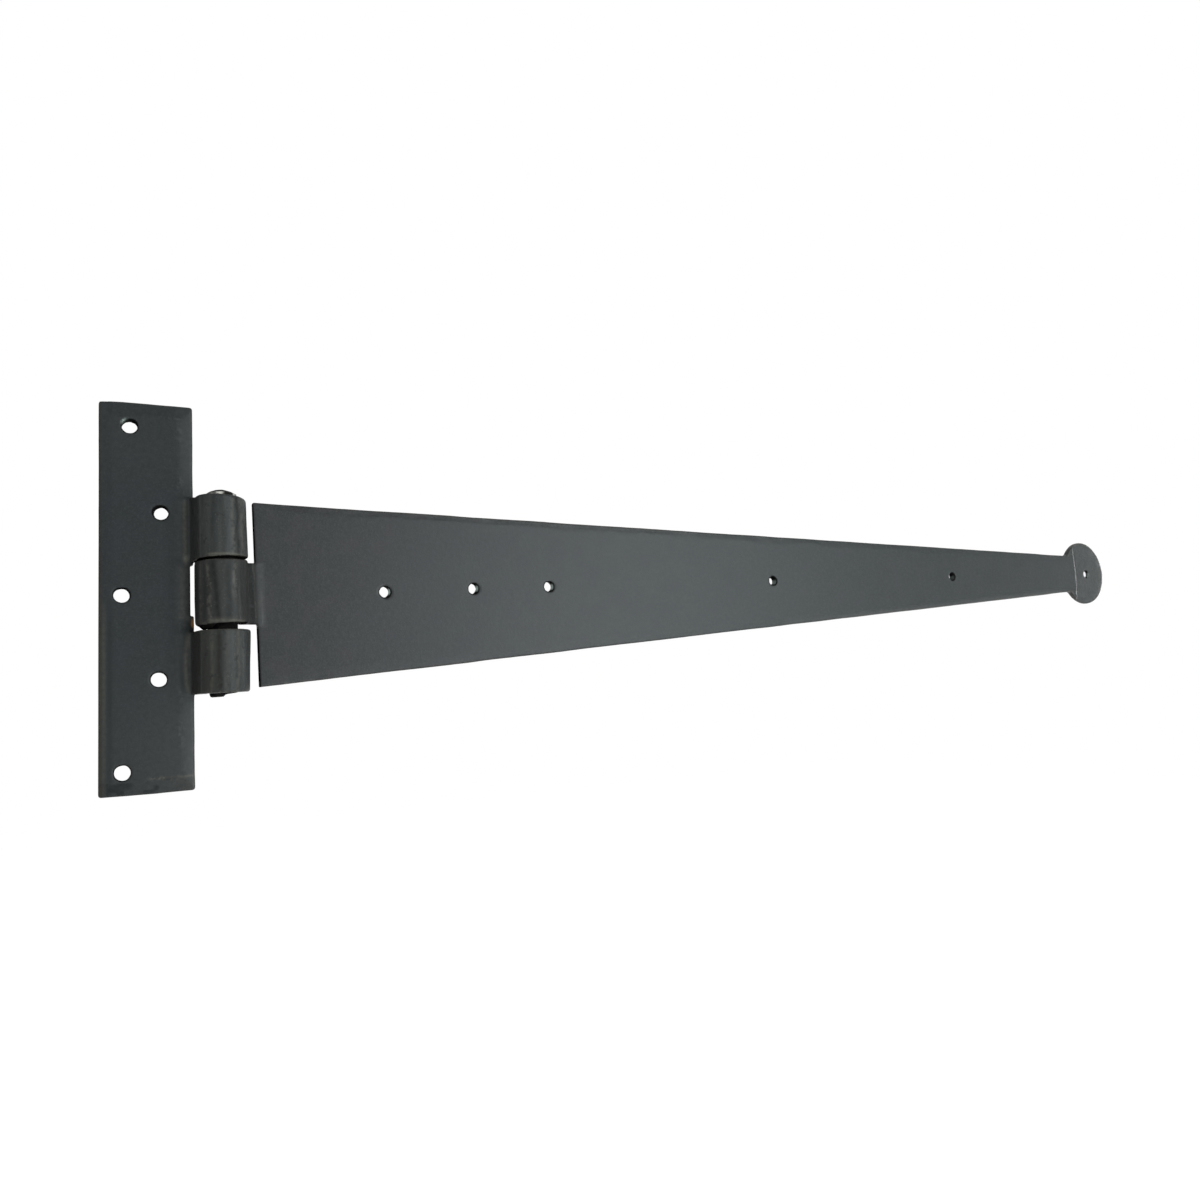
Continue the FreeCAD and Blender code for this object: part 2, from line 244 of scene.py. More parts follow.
def surface_net(places, field):
    """Mesh of the zero level of a field given on a grid of places (i, j, k, 3)."""
    inside = field < 0
    ni, nj, nk = field.shape
    count = np.zeros((ni - 1, nj - 1, nk - 1), np.int8)
    for a, b, c in CORNERS:
        count += inside[a:ni - 1 + a, b:nj - 1 + b, c:nk - 1 + c]
    cells = np.argwhere((count > 0) & (count < 8))
    number = np.full(count.shape, -1, np.int64)
    number[tuple(cells.T)] = np.arange(len(cells))
    corner_place = [places[tuple((cells + corner).T)] for corner in CORNERS]
    corner_value = [field[tuple((cells + corner).T)] for corner in CORNERS]
    total = np.zeros((len(cells), 3))
    hits = np.zeros(len(cells))
    for m, n in CELL_EDGES:
        crossed = (corner_value[m] < 0) != (corner_value[n] < 0)
        gap = np.where(crossed, corner_value[m] - corner_value[n], 1)
        share = np.where(crossed, corner_value[m] / gap, 0)[:, None]
        point = corner_place[m] + share * (corner_place[n] - corner_place[m])
        total += np.where(crossed[:, None], point, 0)
        hits += crossed
    points = total / hits[:, None]

    quads = []
    for axis in range(3):
        one, two = (axis + 1) % 3, (axis + 2) % 3
        here = [slice(1, -1)] * 3
        here[axis] = slice(0, -1)
        there = list(here)
        there[axis] = slice(1, None)
        start, end = inside[tuple(here)], inside[tuple(there)]
        where = np.argwhere(start != end)
        leaving = start[tuple(where.T)]
        where[:, one] += 1
        where[:, two] += 1
        around = []
        for first, second in ((1, 1), (0, 1), (0, 0), (1, 0)):
            cell = where.copy()
            cell[:, one] -= first
            cell[:, two] -= second
            around.append(number[tuple(cell.T)])
        quad = np.stack(around, 1)
        quad[~leaving] = quad[~leaving][:, ::-1]
        quads.append(quad)
    return points, np.concatenate(quads)


def steps(*stops):
    """Grid positions along one axis: (start, spacing), (start, spacing), ..., end."""
    line = []
    for (start, spacing), after in zip(stops[:-1], stops[1:]):
        end = after[0] if isinstance(after, tuple) else after
        count = max(1, int(round((end - start) / (spacing * COARSENESS))))
        line.extend(np.linspace(start, end, count, endpoint=False))
    line.append(stops[-1])
    return np.array(line)


# from in front of the barrels to behind the back
DEPTHS = steps((-20.3, 0.42), (-5.2, 0.4), 0.8)


def store_masks(mesh, masks):
    """Keep each mask on the mesh, where the materials read it by name."""
    for mask, values in masks.items():
        layer = mesh.attributes.new(mask, "FLOAT", "POINT")
        layer.data.foreach_set("value", values.astype(np.float32))


def make_piece(name, points, quads, body, node, masks):
    """A smooth-shaded object in metres, which rides on its body in place of its node."""
    mesh = bpy.data.meshes.new(name)
    mesh.vertices.add(len(points))
    mesh.vertices.foreach_set("co", (points * MM).ravel())
    mesh.loops.add(quads.size)
    mesh.loops.foreach_set("vertex_index", quads.ravel())
    mesh.polygons.add(len(quads))
    mesh.polygons.foreach_set("loop_start", np.arange(len(quads)) * quads.shape[1])
    # faces that hold the most painted shade take the second, near-black material
    black_shade_faces = masks["shade_and_dark_lines"][quads].mean(axis=1) > BLACK_SHADE_SHARE
    mesh.polygons.foreach_set("material_index", black_shade_faces.astype(np.int32))
    mesh.update(calc_edges=True)
    mesh.validate()
    mesh.shade_smooth()
    store_masks(mesh, masks)
    piece = bpy.data.objects.new(name, mesh)
    bpy.context.scene.collection.objects.link(piece)
    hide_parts(node)
    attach(piece, body)
    return piece


# The rolled knuckle

def knuckle_outline(knuckle):
    """Section of a rolled knuckle with its leaf, seen from above, about the pin axis."""
    bore, bend = knuckle.bore, knuckle.bend
    outer = bore + THICKNESS
    depth = -PIN_Y
    rise = depth - THICKNESS - bend
    reach = math.sqrt((bend + outer) ** 2 - rise ** 2)
    centre = (reach, rise)
    lean = math.atan2(rise, reach)
    span = bend + outer
    back = bend + THICKNESS
    chord = (outer ** 2 - back ** 2 + span ** 2) / (2 * span)
    end = lean + math.acos(chord / outer) + SEAM_GAP / outer
    up, turned = math.pi / 2, lean + math.pi
    points = [(knuckle.leaf_end, depth - THICKNESS)]
    points += arc_points(centre, bend, up, turned)
    points += arc_points((0, 0), outer, lean, end - 2 * math.pi)
    points += arc_points((0, 0), bore, end - 2 * math.pi, lean)
    points += arc_points(centre, back, turned, up)
    points += [(knuckle.leaf_end, depth)]
    return [(PIN_X + knuckle.side * x, PIN_Y + y) for x, y in points]


def knuckle_field(x, y, z, knuckle):
    """Distance to one knuckle, with its uneven wall and its slanting, ragged ends."""
    side, seed = knuckle.side, knuckle.seed
    low, high = knuckle.span
    angle = np.arctan2(y - PIN_Y, x - PIN_X)
    radius = np.hypot(x - PIN_X, y - PIN_Y)
    uneven = 0.13 * noise(angle * 2.0, 0, z / 16, seed)
    uneven += 0.06 * noise(angle * 5.0, 0, z / 9, seed + 1)
    uneven += 0.03 * noise(angle * 9.0, 0, z / 3, seed + 2)
    on_outside = ramp(radius, knuckle.bore + 1.5, knuckle.bore + 3)
    up = np.clip((z - low) / (high - low), 0, 1)
    left, right_low, right_high = knuckle.fuller
    full = left * np.maximum(-np.cos(angle), 0)
    full += (right_low + (right_high - right_low) * up) * np.maximum(np.cos(angle), 0)
    wall = polygon_distance(x, y, knuckle_outline(knuckle))
    wall += (0.12 + uneven - full) * on_outside
    if side < 0:
        # the bar comes up off the leaf with a straight flank before it turns
        flank = polygon_distance(x, y, [(PIN_X - across, -front) for across, front in FLANK])
        wall = smooth_min(wall, flank, 0.8)
    across = np.clip((x - PIN_X) / BARREL_HALF, -1.1, 1.1)
    ragged = 0.08 * noise(x / 4, y / 4, 0, seed + 3)
    low_end = low + knuckle.slant[0] * across - z
    if side > 0:
        # the bar's cut end hangs a little lower at the front left
        hang = band(-across, 0.3, 0.5, 0.74, 0.95) * ramp(PIN_Y - y, -3, 1)
        low_end = low_end - 1.55 * hang
    high_end = z - high - knuckle.slant[1] * across
    if knuckle is UPPER:
        # the top end is worn lower at the front
        high_end = high_end + 0.6 * ramp(PIN_Y - y, -6, 0)
    away = ramp(-side * across, 0.3, 1.0)
    rounded = 0.8 + np.where(up < 0.5, knuckle.rounding[0], knuckle.rounding[1]) * away
    return smooth_max(wall, np.maximum(low_end, high_end) + 0.06 + ragged, rounded)


def rim_mask(z, spans):
    """1 at the ends of the knuckles, falling to 0 a little way in."""
    away = np.min([np.abs(z - end) for span in spans for end in span], axis=0)
    return 1 - np.clip(away / EDGE_WEAR, 0, 1)


def barrel_streaks(x, y, z, marks):
    """Dark and light marks that run along a barrel: streaks in the iron, painted shade where it
    turns from the lamps and painted highlight where it turns to them. Each mark is its angle from
    the front, its width, its strength, how many degrees it leans to the millimetre, and its
    height."""
    angle = np.degrees(np.arctan2(x - PIN_X, PIN_Y - y))
    barrel = ramp(-y, THICKNESS + 1, THICKNESS + 3)
    sums = {"dark": np.zeros_like(x), "light": np.zeros_like(x)}
    for number, (kind, at, width, strength, leaning, (low, high)) in enumerate(marks):
        wander = 2.5 * noise(0, number, z / 6, 91)
        reach = band(z, low - 3, low + 3, high - 3, high + 3)
        away = (angle - at - leaning * (z - (low + high) / 2) + wander) / width
        # a broad mark is even across, a narrow one fades from its middle
        if width > 12:
            mark = 1 - ramp(np.abs(away), 0.8, 1.2)
        else:
            mark = np.exp(-away ** 2)
        sums[kind] = np.maximum(sums[kind], strength * mark * reach)
    return {kind: values * barrel for kind, values in sums.items()}


UPPER_MARKS = [
    ("light", -80, 26, 0.22, 0, UPPER_KNUCKLE),
    ("light", -67, 6, 0.6, 0.0, UPPER_KNUCKLE),
    ("dark", -22, 8, 0.3, -0.1, UPPER_KNUCKLE),
    ("dark", -2, 7, 0.3, -0.1, UPPER_KNUCKLE),
    ("light", 20, 4, 0.9, 0.1, UPPER_KNUCKLE),
    ("dark", 8, 7, 0.3, 0.0, UPPER_KNUCKLE),
    ("dark", 33, 6, 0.75, 0.0, UPPER_KNUCKLE),
    ("light", 46, 6, 0.9, 0.0, UPPER_KNUCKLE),
    ("light", 57, 4, 0.9, 0.0, (24, 38.6)),
]
STRAP_MARKS = [
    ("dark", -74, 14, 0.4, 0, STRAP_KNUCKLE),
    ("light", -57, 4, 0.9, 0.0, STRAP_KNUCKLE),
    ("dark", -46, 5, 0.6, 0.0, STRAP_KNUCKLE),
    ("light", -34, 5, 1.0, -0.3, STRAP_KNUCKLE),
    ("dark", -19, 7, 1.0, -0.55, STRAP_KNUCKLE),
    ("dark", 10, 11, 0.8, 0.0, STRAP_KNUCKLE),
    ("light", 23, 4, 0.9, 0.1, (-2, 12)),
    ("dark", 44, 9, 0.6, 0.0, STRAP_KNUCKLE),
]
LOWER_MARKS = [
    ("light", -46, 8, 0.2, 0, LOWER_KNUCKLE),
    ("light", -29, 4.5, 0.9, 0.0, LOWER_KNUCKLE),
    ("dark", -12, 8, 0.95, 0.0, LOWER_KNUCKLE),
    ("light", 3, 5, 0.45, 0.0, LOWER_KNUCKLE),
    ("light", 30, 4, 0.8, 0.0, LOWER_KNUCKLE),
    ("dark", 50, 10, 0.3, 0.0, LOWER_KNUCKLE),
]
# the side of the strap's barrel that is turned towards the blade
SHADED_SIDE = [("dark", 62, 16, 1, 0, STRAP_KNUCKLE)]


# What the plate and the strap share

def edge_wobble(along, seed):
    """How far a hand-cut edge lies inside its line."""
    slow = noise(along / 16, 0, 0, seed)
    fast = noise(along / 3, 0, 0, seed + 1)
    return 0.12 + 0.1 * slow + 0.03 * fast


def punch(field, a, y, b, hole, radius, seed):
    """Cut a punched hole, which is narrower and out of line at the back."""
    place, slip, back_radius = hole
    near = np.abs(a[:, 0, :] - place[0]) + np.abs(b[:, 0, :] - place[1]) < 9
    rows, columns = np.where(near)
    part = np.ix_(
        np.arange(rows.min(), rows.max() + 1),
        np.arange(a.shape[1]),
        np.arange(columns.min(), columns.max() + 1),
    )
    share = np.clip((y[part] + THICKNESS) / THICKNESS, 0, 1)
    from_a = a[part] - place[0] - slip[0] * share
    from_b = b[part] - place[1] - slip[1] * share
    angle = np.arctan2(from_b, from_a)
    ragged = 0.1 * noise(np.cos(angle) * 1.5 + place[0], np.sin(angle) * 1.5, 0, seed)
    cut = radius + (back_radius - radius) * share + ragged - np.hypot(from_a, from_b)
    field[part] = smooth_max(field[part], cut, 0.25)


# Fixing plate

def plate_front(x, z):
    """Height of the plate's front face with its forged bevels, and how far up a bevel each
    place is."""
    def lift(distance, width, along, seed):
        wave = 1 + 0.16 * noise(along / 11, 0, 0, seed)
        return np.clip(1 - distance / (width * wave), 0, 1)

    slot_top = UPPER_KNUCKLE[0]
    beside_slot = ramp(z, SLOT_FOOT - 6, SLOT_FOOT) * ramp(-z, -slot_top - 1, -slot_top + 2)
    rise = lift(PLATE_HALF - z, END_BEVEL, x, 11)
    rise = np.maximum(rise, lift(PLATE_HALF + z, END_BEVEL, x, 12))
    right = lift(PLATE_RIGHT - x, INNER_BEVEL * 1.15, z, 13) ** 1.5
    rise = np.maximum(rise, right * (0.9 - 0.65 * beside_slot))
    rise = np.maximum(rise, lift(x - PLATE_LEFT, OUTER_BEVEL, z, 14))
    facets = 0.5 + 0.5 * noise(x / 5, 0, z / 5, 15)
    surface = BEVEL_DEPTH * rise * (0.8 + 0.2 * facets)
    surface += 0.05 * (1 + noise(x / 14, 0, z / 14, 16))
    return -THICKNESS + surface, rise


def plate_outline(x, z):
    """Distance to the plate's outline in its own plane, with the slot and notches cut out."""
    sides = np.maximum(
        PLATE_LEFT - x + edge_wobble(z, 21) * (0.2 + 0.4 * ramp(z, 10, 40)),
        x - PLATE_RIGHT + edge_wobble(z, 23),
    )
    ends = np.maximum(
        -PLATE_HALF - z + edge_wobble(x, 25),
        z - PLATE_HALF + edge_wobble(x, 27) * 0.6 + 0.5 * ramp(-x, 8, 17),
    )
    outline = smooth_max(sides, ends, 1.2)
    slot_height = np.maximum(SLOT_FOOT - 0.3 - z, z - UPPER_KNUCKLE[0] + 1.8)
    slot = np.maximum(PLATE_RIGHT - SLOT_DEPTH - 0.3 - x, slot_height)
    outline = smooth_max(outline, -slot, 0.8)
    for low, high in (UPPER_KNUCKLE, LOWER_KNUCKLE):
        notch = np.maximum(PIN_X - NOTCH_REACH - x, np.maximum(low - z, z - high - 0.2))
        outline = np.maximum(outline, -notch)
    return outline


def plate_surface():
    """Points and faces of the plate with its two knuckles. The grid is closer at edges."""
    xs = steps(
        (-17.4, 0.35), (-15.8, 0.62), (PLATE_RIGHT - 6, 0.5), (PLATE_RIGHT - 1.5, 0.42), 36.8,
    )
    zs = steps(
        (-77.0, 0.4), (-74.5, 0.65), (-41.0, 0.42), (-37.0, 0.62), (-16.5, 0.42), (-6.0, 0.62),
        (11.5, 0.42), (15.5, 0.62), (36.0, 0.42), (39.5, 0.65), (74.5, 0.4), 77.0,
    )
    x, y, z = np.meshgrid(xs, DEPTHS, zs, indexing="ij")
    flat_x, flat_z = x[:, 0, :], z[:, 0, :]
    front, _ = plate_front(flat_x, flat_z)
    slab = smooth_max(front[:, None, :] - y, y, 0.5)
    field = smooth_max(plate_outline(flat_x, flat_z)[:, None, :], slab, 0.7)
    for hole in PLATE_HOLES:
        punch(field, x, y, z, hole, PLATE_HOLE_RADIUS - 0.1, 29)
    near = xs > PIN_X - 17.5
    for knuckle in (UPPER, LOWER):
        low, high = knuckle.span
        tall = (zs > low - 2) & (zs < high + 2)
        part = np.ix_(near, np.ones(len(DEPTHS), bool), tall)
        barrel = knuckle_field(x[part], y[part], z[part], knuckle)
        field[part] = smooth_min(field[part], barrel, 0.5)
    field = np.maximum(field, y + 0.02)
    return surface_net(np.stack((x, y, z), -1), field)


def plate_masks(x, y, z):
    """Where the plate is worn or rusty, and where light and shade are painted on it."""
    barrel = ramp(-y, THICKNESS, THICKNESS + 2)
    flat = 1 - barrel
    bevel = plate_front(x, z)[1] * flat
    border = np.minimum(np.minimum(x - PLATE_LEFT, PLATE_RIGHT - x), PLATE_HALF - np.abs(z))
    edge = (1 - np.clip(border / EDGE_WEAR, 0, 1)) * flat * (0.15 + 0.85 * ramp(x, -14, -8))
    edge = np.maximum(edge, rim_mask(z, (UPPER_KNUCKLE, LOWER_KNUCKLE)) * barrel)

    # the bevels' crests, lighter in patches with wear and painted highlight, except beside the
    # knuckles
    beside_low = band(-z, 13, 18, 36, 40)
    beside_high = band(z, 13, 16, 36, 39)
    patchy = ramp(noise(x / 9, 0, z / 9, 93), -0.1, 0.6)
    crest = hill(bevel, 0.06, 0.12) * (bevel > 0) * patchy * 0.3 * ramp(x, -6, 2)
    crest *= (1 - beside_low) * (1 - beside_high)

    # painted highlight on the ridges where the knuckles leave the leaf, and a lighter patch at the
    # slot's upper corner; painted shade beside the lower ridge
    bow = 15.0 - 0.9 * np.clip(1 - ((z + 28) / 12) ** 2, 0, 1)
    ridge = 0.65 * hill(x, bow - 0.5, 0.7) * beside_low
    ridge = np.maximum(ridge, 0.45 * hill(x, 13.5, 0.7) * beside_high)
    corner_light = hill(x, 13.8, 0.9) * hill(z, 14.3, 1.9)
    ridge = np.maximum(ridge, 1.2 * corner_light) * flat
    shade = 0.7 * hill(x, bow - 2.3, 0.9) * beside_low * (0.4 + 0.6 * ramp(-z, 20, 38))

    # the left border: a brown edge, a lighter bevel with wear and painted light, and painted shade
    # in a line inside it
    inset = x - PLATE_LEFT
    olive = (1 - ramp(inset, 0.5, 1.6)) * (0.25 + 0.75 * ramp(-z, -35, 30))
    olive = np.maximum(olive, 0.3 * barrel * (z < 0) * ramp(PIN_X - x, -3, 6))
    pale = hill(inset, 1.9, 0.65) * ramp(-z, 0, 12)
    shade = np.maximum(shade, 0.5 * hill(inset, 3.9, 1.0) * (0.3 + 0.7 * ramp(-z, 0, 12)))

    # the foot's bevel: painted shade in patches on its left, a bright crest of wear and painted
    # highlight, and lighter on its right
    foot = (z + PLATE_HALF) / END_BEVEL
    patches = ramp(noise(x / 3, 0, z / 1.5, 94), -0.1, 0.5)
    shade = np.maximum(shade, 0.9 * (foot < 1) * (1 - ramp(x, 2, 15)) * patches)
    foot_crest = hill(foot, 1, 0.1) * ramp(x, -1, 3) * (1 - 0.6 * ramp(x, 8, 11))
    crest = np.maximum(crest, foot_crest * flat)
    pale = np.maximum(pale, 0.8 * hill(foot, 1, 0.09) * ramp(x, 1, 5) * flat)
    pale = np.maximum(pale, 0.5 * (foot < 1) * ramp(x, 4, 14) * flat)

    # the field is brighter towards the foot and the top, with painted light beside the knuckles
    # and the slot
    bright = ramp(-z, 15, 65) * (0.4 + 0.6 * ramp(x, -10, 12))
    bright = np.maximum(bright, ramp(z, 30, 60) * (0.35 + 0.4 * ramp(x, 10, 13))) * flat
    lit = 0.75 * band(z, SLOT_FOOT - 6, SLOT_FOOT, 10, 13) * ramp(x, 8.5, 13.5)
    lit = np.maximum(lit, 0.35 * np.maximum(beside_high, beside_low) * ramp(x, 8, 13)) * flat

    # painted shade on the walls in the holes, and a bare, metallic burr as a painted highlight on
    # the rim of the top one
    away = np.min([np.hypot(x - at[0], z - at[1]) for at, _, _ in PLATE_HOLES], axis=0)
    wall = 1 - ramp(away, PLATE_HOLE_RADIUS - 0.05, PLATE_HOLE_RADIUS + 0.32)
    from_x, from_z = x - TOP_HOLE[0], z - TOP_HOLE[1]
    burr_highlight = 0.7 * hill(np.hypot(from_x, from_z), PLATE_HOLE_RADIUS - 0.1, 0.26)
    burr_highlight *= hill(np.degrees(np.arctan2(from_z, from_x)), 138, 24)
    wall = wall * (1 - burr_highlight)
    shade = shade * flat * (1 - wall)

    # light worn rims on the upper knuckle, wear and painted highlight, and painted shade on the
    # ends that face the strap's
    rim = 0.7 * hill(z, UPPER_KNUCKLE[0] + 0.9, 0.4) * barrel * ramp(x, 19, 22)
    rim += 0.8 * hill(z, UPPER_KNUCKLE[1] - 0.9, 0.6) * barrel * ramp(x, 30, 34)
    under = z - UPPER_KNUCKLE[0] + 0.35 - 0.5 * (x - PIN_X) / BARREL_HALF
    ends = (1 - ramp(np.abs(under), 0.45, 0.75)) * ramp(-y, 1, 3) * ramp(x, 15.4, 16.2)
    ends = np.maximum(ends, (1 - ramp(np.abs(z - LOWER_KNUCKLE[1]), 0.1, 0.4)) * barrel)

    rust_away = np.hypot((x - PLATE_RIGHT) / 1.7, (z + 11.0) / 3.0)
    streaks = barrel_streaks(x, y, z, UPPER_MARKS + LOWER_MARKS)
    return {
        "crest": crest,
        "edge": edge,
        "barrel": barrel,
        "rust": 1 - np.clip(rust_away, 0, 1),
        "wall": wall,
        "burr_highlight": burr_highlight,
        "shade": shade,
        "pale": pale,
        "ridge": ridge,
        "bright": bright,
        "lit": lit,
        "olive": olive,
        "dark": np.maximum(streaks["dark"], ends),
        "light": streaks["light"],
        "rim": rim,
        "shade_and_dark_lines": np.maximum(ends, wall),
    }


def make_plate():
    points, quads = plate_surface()
    masks = plate_masks(*points.T)
    return make_piece("plate_forging", points, quads, "plate", "fixing_plate", masks)


# Strap

def blade_place(x, z):
    """The blade's own coordinates: along it from the pin axis, and above its centre line."""
    along = (x - PIN_X) * math.cos(RAKE) + z * math.sin(RAKE)
    above = z * math.cos(RAKE) - (x - PIN_X) * math.sin(RAKE)
    return along, above


def blade_outline():
    """Outline of the blade and the penny, with hollow corners where they meet."""
    run = np.array([NECK - ROOT, NECK_HALF - ROOT_HALF])
    run /= np.linalg.norm(run)
    normal = np.array([-run[1], run[0]])
    root = np.array([ROOT, ROOT_HALF])
    penny = np.array([PENNY, 0.0])
    start = root + normal * PENNY_THROAT - penny
    half = start @ run
    rest = start @ start - (PENNY_RADIUS + PENNY_THROAT) ** 2
    hollow = root + normal * PENNY_THROAT + run * (-half - math.sqrt(half * half - rest))
    edge_angle = math.atan2(-normal[1], -normal[0])
    to_penny = penny - hollow
    penny_angle = math.atan2(to_penny[1], to_penny[0])
    around = math.pi + penny_angle
    upper = [tuple(root)] + arc_points(hollow, PENNY_THROAT, edge_angle, penny_angle)
    disc = arc_points(penny, PENNY_RADIUS, around, -around)
    lower = [(x, -y) for x, y in reversed(upper)]
    # the root's lower corner stands a little nearer the pin
    lower[-1] = (ROOT - 0.45, -ROOT_HALF)
    return upper + disc + lower


def blade_half(u):
    """Half width of the blade's taper."""
    return ROOT_HALF + (NECK_HALF - ROOT_HALF) * (u - ROOT) / (NECK - ROOT)


def strap_front(u, v):
    """Height of the strap's front face, with shallow bevels and the thinner penny, and how
    far up a bevel each place is."""
    from_edge = blade_half(u) - np.abs(v)
    wave = 1 + 0.25 * noise(u / 17, np.sign(v), 0, 51) + 0.12 * noise(u / 5, np.sign(v), 0, 52)
    rise = np.clip(1 - from_edge / (EDGE_BEVEL * wave), 0, 1) * ramp(u, ROOT - 2, ROOT + 20)
    surface = EDGE_BEVEL_DEPTH * rise * (0.85 + 0.15 * noise(u / 6, 0, v / 4, 53))
    surface += 0.05 * (1 + noise(u / 22, 0, v / 18, 54))
    # the step across the neck leans and wanders a little
    step = u - PENNY_STEP - STEP_LEAN * v - 0.3 * noise(v / 7, 0, 0, 55)
    thin = ramp(step, -0.65, 0.75)
    surface = surface * (1 - thin) + thin * (THICKNESS - PENNY_THICKNESS)
    away = np.hypot(u - PENNY, v) / PENNY_RADIUS
    rim_drop = ramp(away, 0.78, 1.0) * 0.1
    dents = 0.12 * (1 + noise(u / 7, 0, v / 7, 56))
    surface += thin * (rim_drop + dents)
    return -THICKNESS + surface, rise


def strap_surface():
    """Points and faces of the strap with its knuckle. The grid is closer at the holes."""
    us = steps(
        (-10.2, 0.42), (15.5, 1.1), (62.5, 0.65), (70.5, 1.65), (102.2, 0.65), (109.8, 1.65),
        (140.0, 0.65), (147.5, 1.65), (274.0, 0.7), (281.5, 1.65), (412.0, 0.7), (419.5, 1.65),
        (525.0, 0.6), 567.6,
    )
    # shares of the half width, closer at the edges, at the knuckle's ends and at the middle
    side = steps((-1.04, 0.013), (-0.9, 0.03), (-0.36, 0.013), (-0.3, 0.028), (-0.1, 0.018), 0.0)
    shares = np.concatenate([side[:-1], -side[::-1]])
    # the grid narrows with the blade and widens again round the penny
    half = np.maximum(blade_half(np.maximum(us, ROOT)), 12.6 + 9.0 * ramp(us, 518, 534))
    u_grid, y, share_grid = np.meshgrid(us, DEPTHS, shares, indexing="ij")
    v_grid = share_grid * half[:, None, None]
    # it is square to the pin at the knuckle and turns to the blade's rake
    turn = RAKE * ramp(u_grid, 4, 16)
    x = PIN_X + u_grid * np.cos(turn) - v_grid * np.sin(turn)
    z = v_grid * np.cos(turn) + u_grid * np.sin(turn)
    u, v = blade_place(x, z)
    flat_u, flat_v = u[:, 0, :], v[:, 0, :]
    outline = polygon_distance(flat_u, flat_v, blade_outline())
    outline = outline + edge_wobble(flat_u + 3 * np.sign(flat_v), 61)
    # the penny is beaten out a little further on its upper left
    around = np.degrees(np.arctan2(flat_v, flat_u - PENNY))
    outline = outline - 0.55 * hill(around, 105, 38) * (flat_u > NECK)
    front, _ = strap_front(flat_u, flat_v)
    slab = smooth_max(front[:, None, :] - y, y, 0.4)
    field = smooth_max(outline[:, None, :], slab, 0.6 - 0.3 * ramp(u, PENNY, PENNY + 8))
    for hole in STRAP_HOLES:
        punch(field, u, y, v, hole, STRAP_HOLE_RADIUS - 0.25, 63)
    near = us < 24
    barrel = knuckle_field(x[near], y[near], z[near], MIDDLE)
    field[near] = smooth_min(field[near], barrel, 0.35)
    field = np.maximum(field, y + 0.02)
    return surface_net(np.stack((x, y, z), -1), field)


